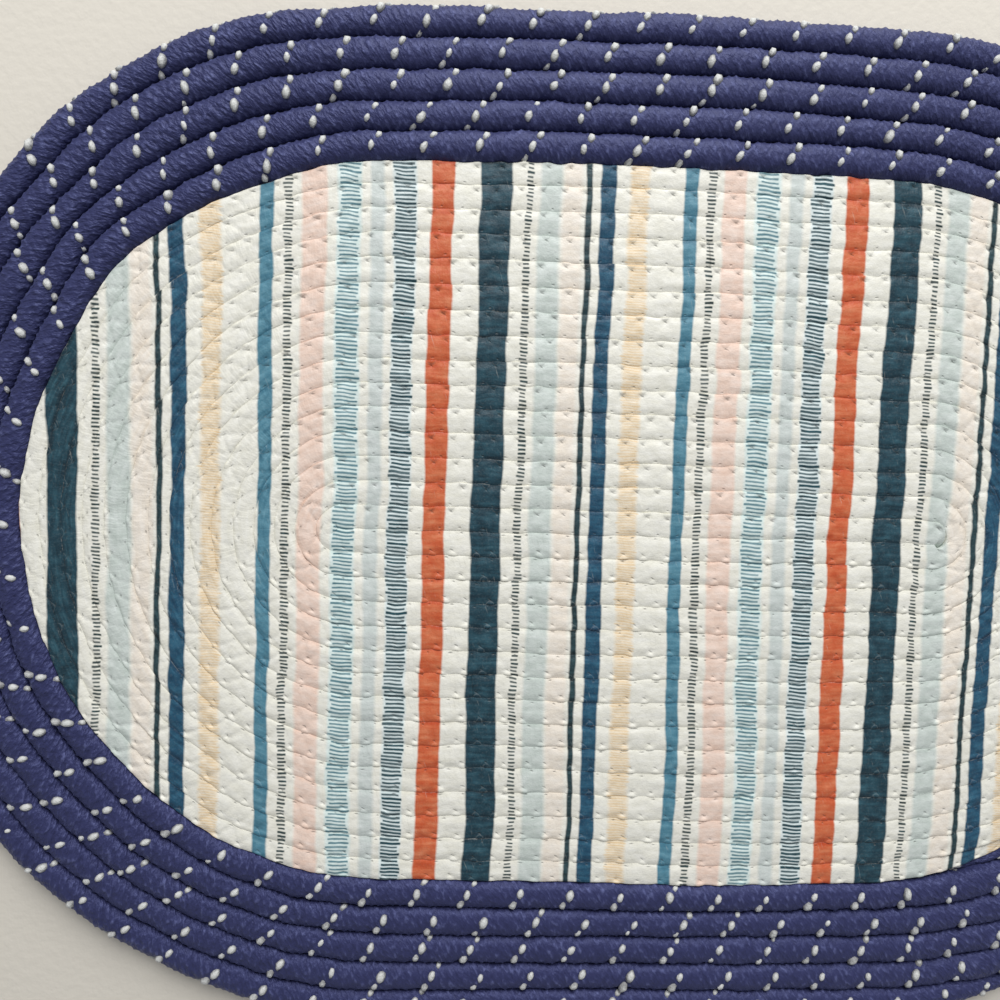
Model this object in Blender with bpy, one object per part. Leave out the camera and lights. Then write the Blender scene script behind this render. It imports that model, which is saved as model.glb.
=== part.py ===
"""An oval braided rug, lying flat on the plane z = 0 with its middle at the origin.

The rug is wound, not cut. A narrow braid is laid side by side with itself round a centre seam and
sewn turn to turn into the field, and a thicker rope is then wound five rounds outside it as the
border. Both are spirals: each turn lies one pitch further out than the turn before, and the step
outwards is made at the right-hand end, below the long axis. There the start and the tail of each
winding taper to nothing, so the field and the whole rug keep a smooth oval outline.

Units are metres and +Z is up. The long axis of the rug is X.
"""

import math

import bmesh
import bpy

# Driving dimensions of the rug.
LENGTH = 0.6858  # 27 inches from end to end
WIDTH = 0.4572  # 18 inches from side to side
FIELD_WIDTH = 0.3255  # the printed field, from side to side
GAP = 0.0003  # clearance between the field and the border
BRAID_TURNS = 15  # rows of braid on each side of the centre seam
ROPE_TURNS = 5  # rounds of rope in the border

# Values worked out from them.
END_CENTRE = (LENGTH - WIDTH) / 2  # the round ends are struck from x = +END_CENTRE and x = -END_CENTRE
FIELD_RIM = (FIELD_WIDTH - GAP) / 2  # from the centre line to the field's edge
BORDER_SEAT = (FIELD_WIDTH + GAP) / 2  # from the centre line to the border's inner edge
BORDER_RIM = WIDTH / 2  # from the centre line to the rug's edge

# How the winding is laid.
STEP_OUT_LENGTH = 0.160  # a turn moves out by one pitch over this length of braid or rope
SHOULDER_EASE = 0.010  # the round ends are this share tighter halfway round each corner
ARC_STEPS = 20  # straight facets in each round end
STATIONS_PER_TURN = 2 * (ARC_STEPS + 1)

# One turn in section, from its inner seam (across = 0) to its outer seam (across = 1).
# Columns: share of the way across, height above the floor.
BRAID_UPPER = (
    (0.00, 0.0068),
    (0.25, 0.0083),
    (0.75, 0.0083),
    (1.00, 0.0068),
)
BRAID_LOWER = (
    (0.00, 0.0011),
    (0.22, 0.0000),
    (0.78, 0.0000),
    (1.00, 0.0011),
)
ROPE_UPPER = (
    (0.00, 0.0064),
    (0.12, 0.0090),
    (0.33, 0.0108),
    (0.67, 0.0108),
    (0.88, 0.0090),
    (1.00, 0.0064),
)
ROPE_LOWER = (
    (0.00, 0.0024),
    (0.25, 0.0000),
    (0.75, 0.0000),
    (1.00, 0.0024),
)

MERGE_DISTANCE = 1e-6  # points nearer than this are the same point of two neighbouring turns


def make_material(name, colour, roughness):
    """A cloth material of one plain colour."""
    material = bpy.data.materials.new(name)
    material.use_nodes = True
    shader = material.node_tree.nodes["Principled BSDF"]
    shader.inputs["Base Color"].default_value = (*colour, 1.0)
    shader.inputs["Roughness"].default_value = roughness
    shader.inputs["Metallic"].default_value = 0.0
    return material


def step_out(angle, radius):
    """The share of one pitch gained so far, from 0 at the foot of the right-hand end to 1."""
    span = min(math.pi, STEP_OUT_LENGTH / radius)
    share = min(1.0, (angle + math.pi / 2) / span)
    return share * share * (3.0 - 2.0 * share)


def station(index):
    """The turn, the side (+1 right, -1 left) and the angle of a numbered station of a winding."""
    turn, place = divmod(index, STATIONS_PER_TURN)
    if place <= ARC_STEPS:
        return turn, 1, math.pi * (place / ARC_STEPS - 0.5)
    return turn, -1, math.pi * ((place - ARC_STEPS - 1) / ARC_STEPS + 0.5)


def seam_distance(index, seat, rim, pitch):
    """How far outside the centre line the outer seam lies at a station."""
    turn, side, angle = station(index)
    if turn < 0:
        return seat
    inside = seat + turn * pitch
    if side < 0:
        return min(rim, inside + pitch)
    return min(rim, inside + pitch * step_out(angle, inside + pitch / 2))


def plan_point(side, angle, distance):
    """The plan position at a distance outside the centre line, on one of the round ends."""
    eased = distance * (1.0 - SHOULDER_EASE * math.sin(2.0 * angle) ** 2)
    return side * END_CENTRE + eased * math.cos(angle), eased * math.sin(angle)


def section_points(index, seams, pitch, profile):
    """The points of an upper or lower section at a station, flatter where the turn is narrow."""
    _, side, angle = station(index)
    inner, outer = seams
    fullness = min(1.0, (outer - inner) / pitch)
    seam_height = profile[0][1]
    points = []
    for across, height in profile:
        x, y = plan_point(side, angle, inner + across * (outer - inner))
        points.append((x, y, seam_height + fullness * (height - seam_height)))
    return points


def add_strip(mesh, line_a, line_b):
    """Faces between two lines that have the same number of points."""
    verts_a = [mesh.verts.new(point) for point in line_a]
    verts_b = [mesh.verts.new(point) for point in line_b]
    for i in range(len(line_a) - 1):
        mesh.faces.new((verts_a[i], verts_a[i + 1], verts_b[i + 1], verts_b[i]))


def wind(name, material, turns, seat, rim, upper, lower):
    """Wind a braid or rope from the seat out to the rim, as one closed solid."""
    pitch = (rim - seat) / turns
    mesh = bmesh.new()
    tail = turns * STATIONS_PER_TURN
    while seam_distance(tail - STATIONS_PER_TURN, seat, rim, pitch) < rim - MERGE_DISTANCE:
        tail += 1

    def seams(index):
        return tuple(seam_distance(i, seat, rim, pitch) for i in (index - STATIONS_PER_TURN, index))

    for index in range(tail):
        ends = [(i, seams(i)) for i in (index, index + 1)]
        upper_a, upper_b = [section_points(i, pair, pitch, upper) for i, pair in ends]
        lower_a, lower_b = [section_points(i, pair, pitch, lower) for i, pair in ends]
        add_strip(mesh, upper_a, upper_b)
        add_strip(mesh, lower_a, lower_b)
        on_rim = all(pair[1] > rim - MERGE_DISTANCE for _, pair in ends)
        on_seat = seat > 0 and all(pair[0] < seat + MERGE_DISTANCE for _, pair in ends)
        if on_rim:
            add_strip(mesh, (upper_a[-1], lower_a[-1]), (upper_b[-1], lower_b[-1]))
        if on_seat:
            add_strip(mesh, (upper_a[0], lower_a[0]), (upper_b[0], lower_b[0]))

    bmesh.ops.remove_doubles(mesh, verts=mesh.verts, dist=MERGE_DISTANCE)
    bmesh.ops.recalc_face_normals(mesh, faces=mesh.faces)
    data = bpy.data.meshes.new(name)
    mesh.to_mesh(data)
    mesh.free()
    data.materials.append(material)
    piece = bpy.data.objects.new(name, data)
    bpy.context.scene.collection.objects.link(piece)
    return piece


def main():
    for item in list(bpy.data.objects):
        bpy.data.objects.remove(item)

    braid = make_material("printed_braid", (0.74, 0.73, 0.66), 0.85)
    rope = make_material("navy_rope", (0.032, 0.030, 0.110), 0.8)
    wind("field", braid, BRAID_TURNS, 0.0, FIELD_RIM, BRAID_UPPER, BRAID_LOWER)
    wind("border", rope, ROPE_TURNS, BORDER_SEAT, BORDER_RIM, ROPE_UPPER, ROPE_LOWER)


main()
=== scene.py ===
# %% [markdown]
# # An oval braided rug
#
# The real rug is wound, not cut. A narrow white braid is laid side by side with itself and sewn,
# row to row, into an oval field. Five rounds of a thicker navy rope are sewn round it, and cross
# stripes are printed on the field at the end. So this lesson doesn't model an oval and paint rows
# on it: it makes one long braid and one long rope, and lays each along its own winding.
#
# The frame holds the plain solids of the rug at their real size. Everything is in metres, +Z is up,
# and the rug lies on z = 0 with its long side along X.

# %% The frame
import math

import bpy
import numpy as np
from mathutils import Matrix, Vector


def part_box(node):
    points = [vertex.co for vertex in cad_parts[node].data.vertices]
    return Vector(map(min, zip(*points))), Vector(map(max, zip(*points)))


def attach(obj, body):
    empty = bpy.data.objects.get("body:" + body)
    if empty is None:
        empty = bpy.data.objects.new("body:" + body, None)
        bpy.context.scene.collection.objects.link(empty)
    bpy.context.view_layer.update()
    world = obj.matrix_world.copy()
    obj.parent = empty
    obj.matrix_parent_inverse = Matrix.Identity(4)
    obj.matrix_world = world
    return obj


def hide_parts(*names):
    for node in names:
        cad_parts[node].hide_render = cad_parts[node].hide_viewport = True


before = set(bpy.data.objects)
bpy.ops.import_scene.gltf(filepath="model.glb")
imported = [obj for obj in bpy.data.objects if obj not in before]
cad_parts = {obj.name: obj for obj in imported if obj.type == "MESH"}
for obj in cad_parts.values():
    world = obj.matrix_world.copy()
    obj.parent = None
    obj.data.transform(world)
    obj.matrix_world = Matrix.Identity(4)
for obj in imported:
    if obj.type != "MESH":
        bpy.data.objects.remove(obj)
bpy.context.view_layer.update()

print("nodes in the frame:", sorted(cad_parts))

# %% [markdown]
# ## Sizes
#
# The length, the width and the two thicknesses come from the frame's boxes. What is left to say
# here is how the rug was made: how many rows and rounds it has, and how the yarns of the rope run.

# %% Sizes from the frame
MM = 0.001

_, border_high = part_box("border")
_, field_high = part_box("field")
END_CENTRE = border_high.x - border_high.y  # the round ends are struck from x = +/- this
BORDER_RIM = border_high.y
FIELD_RIM = field_high.y
GAP = 0.3 * MM  # clearance between the field and the border
BORDER_SEAT = FIELD_RIM + GAP
ROPE_HEIGHT = border_high.z
BRAID_HEIGHT = field_high.z
BRAID_TURNS = 15
ROPE_TURNS = 5
print(f"round ends at {END_CENTRE / MM:.1f} mm, field {2 * FIELD_RIM / MM:.1f} mm wide")
print(f"braid pitch {FIELD_RIM / BRAID_TURNS / MM:.2f} mm, "
      f"rope pitch {(BORDER_RIM - BORDER_SEAT) / ROPE_TURNS / MM:.2f} mm")

# %% [markdown]
# ## The camera
#
# The rug was photographed from almost straight above, and from so near that both of its round ends
# run out of the picture. A camera comes early in a scene like this, because the finest detail has
# to be chosen for the distance that it is seen from: here 1 mm is about 2 pixels.

# %% Camera
CAMERA_PLACE = (-83.5 * MM, 35.6 * MM, 355.0 * MM)
CAMERA_TURN = (-3.509, -2.782, 1.815)  # degrees about X, Y and Z
CAMERA_LENS = 27.72  # mm on a sensor 36 mm wide

bpy.ops.object.select_all(action="DESELECT")
bpy.ops.object.camera_add(location=CAMERA_PLACE, rotation=[math.radians(a) for a in CAMERA_TURN])
camera = bpy.context.object
camera.name = "camera"
camera.data.lens = CAMERA_LENS
bpy.context.scene.camera = camera
print("camera", round(camera.location.z / MM), "mm above the floor")

# %% [markdown]
# ## The winding
#
# One lap of the winding runs up round the right-hand end, back along the top, down round the
# left-hand end and forward along the bottom. A seam is described by how far it lies outside the
# centre line, and the place on a lap by the end centre and the angle from it. Each lap begins where
# the last one ended, one pitch further out, and the step outwards is made at the foot of the
# right-hand end. There the first lap starts from nothing and the last one runs out to nothing, so
# both ovals keep a smooth edge.
#
# The braid is pulled tight round the ends, so its rows are narrower there than along the sides. The
# first row is that much longer than the ends of the oval would ask for.

# %% One lap and its seams
STEP_OUT_LENGTH = 160 * MM  # a lap moves out by one pitch over this length
SHOULDER_EASE = 0.010  # the round ends are this share tighter halfway round each corner
HEART_LONGER = 24 * MM  # the first row reaches this much further out at each end
ARC_STATIONS = 60
STRAIGHT_STATIONS = 40


def soft_step(share):
    """Runs from 0 to 1 with a share, but starts and stops softly."""
    return share * share * (3.0 - 2.0 * share)


def one_lap():
    """The end centre's x, the angle, and whether it is the right-hand end, all round one lap."""
    up = np.linspace(-0.5, 0.5, ARC_STATIONS, endpoint=False) * math.pi
    back = np.linspace(END_CENTRE, -END_CENTRE, STRAIGHT_STATIONS, endpoint=False)
    centre = np.concatenate([np.full_like(up, END_CENTRE), back, np.full_like(up, -END_CENTRE), -back])
    straight = np.full_like(back, math.pi)
    angle = np.concatenate([up, straight / 2, up + math.pi, straight * 1.5])
    right = np.concatenate([np.ones_like(up), np.zeros(len(angle) - len(up))]) > 0
    return centre, angle, right


def outer_seam(lap, angle, right, seat, rim, pitch):
    """How far outside the centre line a lap's outer seam lies."""
    if lap < 0:
        return np.full_like(angle, seat)
    inside = seat + lap * pitch
    span = min(math.pi, STEP_OUT_LENGTH / (inside + pitch / 2))
    share = np.clip((angle + math.pi / 2) / span, 0.0, 1.0)
    gained = np.where(right, soft_step(share), 1.0)
    return np.minimum(rim, inside + pitch * gained)


# %% [markdown]
# ## Laying a strip along the winding
#
# `wind` lists the stations of a whole winding, with the length of braid or rope used up at each.
# `lay` then takes points of a straight strip, given as the distance along it, the place across it
# from -1 at its inner seam to +1 at its outer seam, and the height, and puts them on the rug. Two
# neighbouring laps share a seam exactly, so nothing has to be fitted afterwards.
#
# A rug like this is sewn by hand guiding the braid, so its rows are never quite even, and the oval
# is fuller in one place and flatter in another. Long, low waves in plan are added to every point,
# and a few broad pushes, each placed from the photo. They are added after the winding, so
# the field, the rope and its yarns all move together and the seams stay shut. The print goes with
# the cloth, so each point also keeps the place that it had before.

# %% Uneven by hand
WAVES = (
    # how many, shortest and longest in mm, and how far each swings in mm
    (9, 32, 95, 0.14),  # the hand wandering
    (8, 9, 22, 0.07),  # the rows bulging between stitches
)
wave_draw = np.random.default_rng(11)
waves = [
    (
        2 * math.pi / (wave_draw.uniform(shortest, longest) * MM),
        wave_draw.uniform(0, math.pi),
        wave_draw.uniform(0, 2 * math.pi, 2),
        swing * MM,
    )
    for how_many, shortest, longest, swing in WAVES
    for _ in range(how_many)
]
PUSHES = (
    # where in plan (x, y), how far it reaches, and how far it pushes (x, y), all in mm
    (-215, 185, 60, -1.0, 3.2),  # the far left shoulder lies fuller
    (-125, 205, 45, 0.0, -1.6),
    (-238, 108, 24, -2.0, 4.2),  # the field's own shoulder is fuller still
    (-172, 160, 38, 0.0, -2.4),
    (30, 215, 120, 0.0, 3.4),  # the far side bows out
    (40, -135, 85, 2.2, -2.2),  # and so does the near side
)


def hand_laid(x, y):
    """The same plan points, moved a little, as hands leave them."""
    shift_x, shift_y = np.zeros_like(x), np.zeros_like(y)
    for number, heading, (start_x, start_y), swing in waves:
        across_wave = number * (x * math.cos(heading) + y * math.sin(heading))
        shift_x += swing * np.sin(across_wave + start_x)
        shift_y += swing * np.sin(across_wave + start_y)
    for at_x, at_y, reach, push_x, push_y in PUSHES:
        near = np.exp(-((x / MM - at_x) ** 2 + (y / MM - at_y) ** 2) / reach ** 2)
        shift_x += push_x * MM * near
        shift_y += push_y * MM * near
    return x + shift_x, y + shift_y


print(len(waves), "waves and", len(PUSHES), "pushes")

# %% Wind and lay
RIM_ROW_SHARE = 0.88  # the last row of the field is squeezed by the rope sewn against it
ROPE_START = 18.6 * MM  # the rope's end is cut where its taper has grown wide enough to sew
FULL_WIDTH = 0.85  # a strip squeezed to less than this share of its pitch loses height too
TAPER_POWER = 0.6  # slowly at first, and all of it where the width runs out


def plan_point(centre, angle, distance):
    """The plan position at a distance outside the centre line."""
    eased = distance * (1.0 - SHOULDER_EASE * np.sin(2.0 * angle) ** 2)
    longer = 1.0 + HEART_LONGER / END_CENTRE * np.clip(1.0 - distance / FIELD_RIM, 0.0, 1.0)
    return centre * longer + eased * np.cos(angle), eased * np.sin(angle)


def wind(turns, seat, rim, rim_row_share=1.0, start=0.0):
    """The stations of a winding, each with the length of strip used up when it is reached."""
    pitch = (rim - seat) / turns
    centre, angle, right = one_lap()
    laps = range(turns + 1)
    inner, outer = [
        np.concatenate([outer_seam(lap - back, angle, right, seat, rim, pitch) for lap in laps])
        for back in (1, 0)
    ]
    centre = np.tile(centre, turns + 1)
    angle = np.concatenate([angle + 2 * math.pi * lap for lap in laps])
    last = np.flatnonzero(inner < rim)[-1] + 2  # one station past the last open one
    inner, outer, centre, angle = [values[:last] for values in (inner, outer, centre, angle)]
    rows = [seat, rim - pitch, rim]
    squeezed = [seat, rim - pitch * rim_row_share, rim]
    inner, outer = np.interp(inner, rows, squeezed), np.interp(outer, rows, squeezed)
    x, y = plan_point(centre, angle, (inner + outer) / 2)
    steps = np.hypot(np.diff(x), np.diff(y))
    along = np.concatenate([[0.0], np.cumsum(steps)]) - start
    return {"along": along, "centre": centre, "angle": angle, "inner": inner, "outer": outer,
            "pitch": pitch, "length": along[-1]}


def lay(winding, along, across, height):
    """Points of a straight strip, laid along the winding, and their even plan places."""
    centre, angle, inner, outer = [
        np.interp(along, winding["along"], winding[name])
        for name in ("centre", "angle", "inner", "outer")
    ]
    plan = plan_point(centre, angle, inner + (outer - inner) * (across + 1) / 2)
    fullness = np.clip((outer - inner) / winding["pitch"] / FULL_WIDTH, 0.0, 1.0) ** TAPER_POWER
    return np.stack([*hand_laid(*plan), height * fullness], axis=-1), plan


braid_way = wind(BRAID_TURNS, 0.0, FIELD_RIM, RIM_ROW_SHARE)
rope_way = wind(ROPE_TURNS, BORDER_SEAT, BORDER_RIM, start=ROPE_START)
print(f"the field takes {braid_way['length']:.2f} m of braid, the border {rope_way['length']:.2f} m of rope")

# %% [markdown]
# ## From a flat grid to a tube
#
# A braid and a rope are both long tubes, slightly flattened where they are pressed together. A
# cylinder would need thousands of loop cuts, so each tube starts as a flat grid instead: its rows
# become the rings of the tube, and its columns the lines along it. The grid is as big as its ring
# and column numbers, so every point says by its own place which ring and which line it is on. Once
# rolled, the two long edges meet, and the merge closes them. The ends are filled.

# %% Grid, roll, close
MERGE_DISTANCE = 0.02 * MM


def add_grid(name, rings, around):
    """A flat grid, and for each of its points the number of its ring and of its line."""
    bpy.ops.object.select_all(action="DESELECT")
    bpy.ops.mesh.primitive_grid_add(x_subdivisions=rings, y_subdivisions=around, size=1.0)
    grid = bpy.context.object
    grid.name = grid.data.name = name
    grid.data.uv_layers.remove(grid.data.uv_layers[0])
    places = np.empty(len(grid.data.vertices) * 3)
    grid.data.vertices.foreach_get("co", places)
    share = places.reshape(-1, 3) + 0.5
    return grid, np.rint(share[:, 0] * rings), np.rint(share[:, 1] * around)


def set_points(piece, points):
    """Moves every point of a piece's mesh."""
    piece.data.vertices.foreach_set("co", points.astype(np.float32).ravel())
    piece.data.update()


def set_uv(piece, u, v, name):
    """Gives a piece a UV map that a pattern can follow, from a value pair for each point."""
    layer = piece.data.uv_layers.new(name=name)
    corners = np.empty(len(piece.data.loops), dtype=np.int32)
    piece.data.loops.foreach_get("vertex_index", corners)
    layer.data.foreach_set("uv", np.stack([u, v], axis=-1)[corners].astype(np.float32).ravel())


def close_tube(tube):
    """Joins the long edges of a rolled grid, fills its two ends and shades it smooth."""
    bpy.ops.object.mode_set(mode="EDIT")
    bpy.ops.mesh.select_all(action="SELECT")
    bpy.ops.mesh.remove_doubles(threshold=MERGE_DISTANCE)
    bpy.ops.mesh.fill_holes(sides=0)
    bpy.ops.mesh.normals_make_consistent(inside=False)
    bpy.ops.object.mode_set(mode="OBJECT")
    bpy.ops.object.shade_smooth()
    for face in tube.data.polygons:
        if len(face.vertices) > 4:
            face.use_smooth = False  # a flat end leaves the shading of the tube's wall alone


def count(piece):
    """The number of triangles in a piece."""
    return sum(len(face.vertices) - 2 for face in piece.data.polygons)


# %% Soft noise and a soft section
NOISE_VALUES = 4096  # before the noise repeats itself


def smooth_noise(places, seed):
    """A random value from -1 to 1 at each whole number, with a smooth curve between them."""
    table = np.random.default_rng(seed).uniform(-1, 1, NOISE_VALUES)
    low = np.floor(places).astype(int)
    share = soft_step(places - low)
    return table[low % NOISE_VALUES] * (1 - share) + table[(low + 1) % NOISE_VALUES] * share


def rounded_section(turn, power):
    """Across and lift, from -1 to 1, of a flattened tube at a share of a turn from its outer seam."""
    across = np.cos(2 * math.pi * turn)
    side = np.where(turn % 1.0 < 0.5, 1.0, -1.0)
    return across, side * (1.0 - np.abs(across) ** power) ** (1 / power)


# %% [markdown]
# ## The field's braid
#
# The braid is a soft flat tube, sewn to its neighbour with a zigzag stitch. Each stitch pierces the
# lap inside the seam about a quarter of the way in, and the lap outside it near its edge. The
# needle leaves a small pit, and the cloth between the pit and the seam swells into a little puff.
# The thread runs to and fro between the two rows of pits and pulls a shallow valley after it, which
# is deepest on the shoulders of the oval. Neighbouring rows are pressed together, so only their
# crests are round: they meet less than one millimetre below their crowns, and the wall between
# them doesn't show. Nine rings of the grid make one stitch, which is enough for a puff and a pit
# to have a shape of their own.

# %% Braid section
STITCH = 9.8 * MM
RINGS_PER_STITCH = 9
TOP_LINES = 16  # lines over the upper face, from seam to seam
UNDER_LINES = 5
SEAM_HEIGHT = 7.7 * MM  # the pressed rows touch down to here
CREST_POWER = 3.0  # 2 would be a round crest, more is flatter with a tighter shoulder
UNDER_ACROSS = (-0.95, -0.72, 0.72, 0.95)  # the lower face, seen in section
UNDER_HEIGHTS = (1.3 * MM, 0.0, 0.0, 1.3 * MM)
HALF_ROW = braid_way["pitch"] / 2
print("a braid ring has", TOP_LINES + UNDER_LINES, "points, and there is one each",
      round(STITCH / RINGS_PER_STITCH / MM, 2), "mm")

# %% Stitches and lumps
STITCH_SLIP = (1.3 * MM, 0.35 * MM)  # how far a stitch misses its place, along and across
PUFF_IN = 0.1 * MM  # from the outer seam
PUFF_REACH = (1.9 * MM, 1.8 * MM)  # along the row and across it, like every reach below
PUFF_HEIGHT = 0.36 * MM
PIT_IN = 2.35 * MM  # from the outer seam
PIT_EARLY = 0.3 * MM  # before the middle of its puff
PIT_REACH = (1.8 * MM, 1.1 * MM)
PIT_DEPTH = 0.30 * MM
NEAR_PIT_IN = 1.1 * MM  # from the inner seam
NEAR_PIT_LATER = 4.4 * MM  # the two pits take turns along the row
NEAR_PIT_REACH = (1.1 * MM, 0.7 * MM)
NEAR_PIT_SHARE = 0.6  # of the other pit's depth
ZIGZAG_DEPTH = 0.34 * MM
ZIGZAG_LEFT = 0.2  # the share of it that is left on the straights
ZIGZAG_WIDTH = 1.4 * MM
ZIGZAG_REACH = 0.75  # of half a row, to each side of its middle
PULL_SPREAD = 0.6  # no two stitches are pulled equally tight
BRAID_LUMPS = ((7 * MM, 0.20 * MM), (19 * MM, 0.16 * MM))  # how long, how high
LUMP_TRACKS = 4  # of noise, side by side across a row
TRACK_APART = 57.0  # places along the noise, from one track to the next
SEAM_HOLD = 0.7  # the share of the lumps that a row's edges lose


def lumps(along, across, length, seed):
    """Hollows and swells of a soft tube, from -1 to 1: tracks of noise, blended across."""
    track = (across + 1.0) * (LUMP_TRACKS - 1) / 2
    share = soft_step(track % 1.0)
    low, high = [smooth_noise(along / length + TRACK_APART * np.floor(track + step), seed)
                 for step in (0, 1)]
    return low * (1.0 - share) + high * share


def hollow(away_along, away_across, reach):
    """1 in the middle of a soft mark, falling to 0 at its reach each way."""
    return np.clip(1.0 - (away_along / reach[0]) ** 2 - (away_across / reach[1]) ** 2, 0.0, 1.0)


# %% Points of the braid
def braid_points(ring, line, first_ring):
    """The laid points of a length of braid, and its UV values."""
    line = line % (TOP_LINES + UNDER_LINES)
    on_top = line <= TOP_LINES
    across = np.cos(math.pi * line / TOP_LINES)
    under = np.clip(line - TOP_LINES - 1, 0, len(UNDER_ACROSS) - 1).astype(int)
    across = np.where(on_top, across, np.take(UNDER_ACROSS, under))

    along = (ring + first_ring) * STITCH / RINGS_PER_STITCH
    sewn_along = along + STITCH_SLIP[0] * smooth_noise(along / STITCH, seed=7)
    sewn_across = across + STITCH_SLIP[1] / HALF_ROW * smooth_noise(along / STITCH, seed=8)
    past_stitch = (sewn_along + STITCH / 2) % STITCH - STITCH / 2
    past_near = (sewn_along - NEAR_PIT_LATER + STITCH / 2) % STITCH - STITCH / 2
    from_outer, from_inner = HALF_ROW * (1.0 - sewn_across), HALF_ROW * (1.0 + sewn_across)

    puff = np.sqrt(hollow(past_stitch, from_outer - PUFF_IN, PUFF_REACH))
    pit = hollow(past_stitch + PIT_EARLY, from_outer - PIT_IN, PIT_REACH)
    near_pit = hollow(past_near, from_inner - NEAR_PIT_IN, NEAR_PIT_REACH)
    height = SEAM_HEIGHT + (BRAID_HEIGHT - SEAM_HEIGHT) * (1.0 - np.abs(across) ** CREST_POWER)
    held = 1.0 - SEAM_HOLD * np.abs(across) ** 6
    for number, (length, rise) in enumerate(BRAID_LUMPS):
        height += rise * held * lumps(along, across, length, seed=3 + number)
    zigzag = ZIGZAG_REACH * (1.0 - 4.0 * np.abs(past_stitch) / STITCH)
    on_shoulder = np.abs(np.sin(2.0 * np.interp(along, braid_way["along"], braid_way["angle"])))
    valley = np.exp(-((sewn_across - zigzag) * HALF_ROW / ZIGZAG_WIDTH) ** 2)
    sewn = PUFF_HEIGHT * puff - PIT_DEPTH * (pit + NEAR_PIT_SHARE * near_pit)
    sewn -= ZIGZAG_DEPTH * (ZIGZAG_LEFT + on_shoulder) * valley
    height += sewn * (1.0 + PULL_SPREAD * smooth_noise(np.rint(sewn_along / STITCH), seed=5))
    height = np.where(on_top, height, np.take(UNDER_HEIGHTS, under))
    points, plan = lay(braid_way, along, across, height)
    return points, plan, (sewn_along, sewn_across)


# %% Lay the braid
BRAID_PIECES = ("field_braid_heart", "field_braid_middle", "field_braid_outer")
braid_rings = math.ceil(braid_way["length"] / STITCH * RINGS_PER_STITCH)
cuts = np.linspace(0, braid_rings, len(BRAID_PIECES) + 1).astype(int)

field_pieces = []
for name, first, last in zip(BRAID_PIECES, cuts[:-1], cuts[1:]):
    piece, ring, line = add_grid(name, last - first, TOP_LINES + UNDER_LINES)
    points, plan, sewn = braid_points(ring, line, first)
    set_points(piece, points)
    set_uv(piece, *plan, "print_plan")
    set_uv(piece, *sewn, "along_across")
    close_tube(piece)
    field_pieces.append(piece)
    print(name, count(piece), "triangles")

# %% [markdown]
# ## The border's rope
#
# The rope is a round braid of fourteen yarns: seven wind one way round it and seven the other, each
# passing over one and under the next. One of the first seven is cream and the rest are navy. The
# tube's grid is twisted with the first seven yarns, so its long lines lie on the yarns and between
# them, and each crossing gets a point of its own to lift. Folding every face along its short
# diagonal makes the other seven yarns out of the same points.

# %% Rope section
YARNS = 7  # in each direction
YARN_LEAD = 23.2 * MM  # the length of rope in which a yarn goes once round
ROPE_LINES = 2 * YARNS
RING_STEP = YARN_LEAD / (4 * YARNS)
ROPE_POWER = 2.35  # 2 would be a round rope, more is a squarer one
ROPE_SPREAD = 1.03  # the rounds are pressed into each other by this share
YARN_RISE = 0.20 * MM  # where two yarns cross
YARN_SINK = 0.15 * MM  # in the gaps between the crossings
YARN_SWELL = 0.17 * MM  # each yarn is thicker here and thinner there
YARN_SWELL_LENGTH = 11 * MM
TRACER_DENT = 0.50 * MM  # the tracer is pulled tighter than the rest
TRACER_DENT_REACH = 0.8  # yarns to each side
ROPE_LUMP = 0.28 * MM  # and so swells the rope as a whole
ROPE_LUMP_LENGTH = 23 * MM


def yarn_places(along, turn):
    """How many yarns round a point is, counted across the first seven and across the other seven."""
    return YARNS * (turn - along / YARN_LEAD), YARNS * (turn + along / YARN_LEAD)


def rope_surface(along, turn, out):
    """Laid points on the rope's surface, raised by `out`."""
    across, lift = rounded_section(turn, ROPE_POWER)
    swell = 1.0 + out / (ROPE_HEIGHT / 2)
    height = np.maximum(0.0, ROPE_HEIGHT / 2 * (1.0 + lift * swell) - YARN_RISE)
    return lay(rope_way, along, across * swell * ROPE_SPREAD, height)[0]


def rope_relief(along, turn):
    """How far the rope's surface stands out or in at a point."""
    first, second = yarn_places(along, turn)
    between = np.rint(first * 2) % 2 + np.rint(second * 2) % 2
    relief = np.select([between == 0, between == 1], [YARN_RISE, 0.0], -YARN_SINK)
    for place, own_stretch, seed in ((first, 97.0, 21), (second, 89.0, 22)):
        swell = smooth_noise(along / YARN_SWELL_LENGTH + own_stretch * np.rint(place), seed)
        relief += YARN_SWELL * np.abs(np.cos(math.pi * place)) * swell
    relief += ROPE_LUMP * smooth_noise(along / ROPE_LUMP_LENGTH, seed=23)
    from_tracer = (first + YARNS / 2) % YARNS - YARNS / 2
    return relief - TRACER_DENT * np.exp(-(from_tracer / TRACER_DENT_REACH) ** 2)


# %% Lay the rope
ROPE_PIECES = ("border_rope_inner", "border_rope_outer")
rope_rings = math.ceil(rope_way["length"] / RING_STEP)
cuts = np.linspace(0, rope_rings, len(ROPE_PIECES) + 1).astype(int)

border_pieces = []
for name, first, last in zip(ROPE_PIECES, cuts[:-1], cuts[1:]):
    piece, ring, line = add_grid(name, last - first, ROPE_LINES)
    ring += first
    along = ring * RING_STEP
    turn = line / ROPE_LINES + ring / (2 * ROPE_LINES)
    set_points(piece, rope_surface(along, turn, rope_relief(along, turn % 1.0)))
    set_uv(piece, along, turn, "along_turn")
    close_tube(piece)
    fold = piece.modifiers.new("fold along the yarns", "TRIANGULATE")
    fold.quad_method = "SHORTEST_DIAGONAL"
    bpy.ops.object.modifier_apply(modifier=fold.name)
    border_pieces.append(piece)
    print(name, count(piece), "triangles")

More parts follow.
